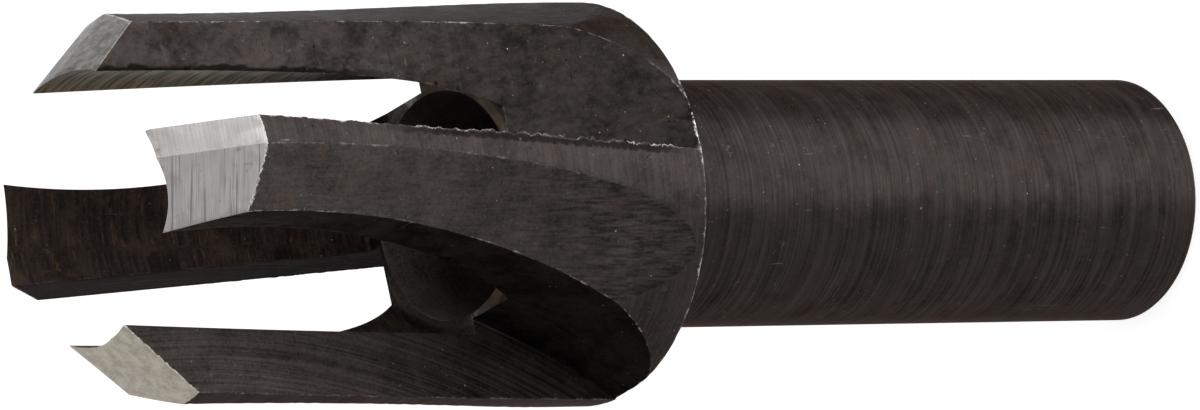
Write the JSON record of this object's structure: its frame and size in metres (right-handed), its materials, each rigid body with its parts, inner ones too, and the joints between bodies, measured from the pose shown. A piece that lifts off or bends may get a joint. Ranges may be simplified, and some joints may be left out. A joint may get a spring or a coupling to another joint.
{
  "type": "plug cutter",
  "caption": "Hollow plug cutter for a drill: a round shank and a head split into fingers with bevelled cutting tips, for cutting round wood plugs.",
  "frame": {"origin": "centre of the flat end of the shank, which the tool stands on", "axes": "+Z along the tool's axis from the shank's end to the tips, +X through the middle of the first finger's land side, +Y through the next finger"},
  "size_m": [0.0206, 0.0206, 0.0677],
  "materials": {
    "black_steel": "black oxide over milled and turned steel, bare bright steel on the ground tips"
  },
  "bodies": {
    "root": {"plug_cutter": "black_steel"}
  },
  "joints": []
}
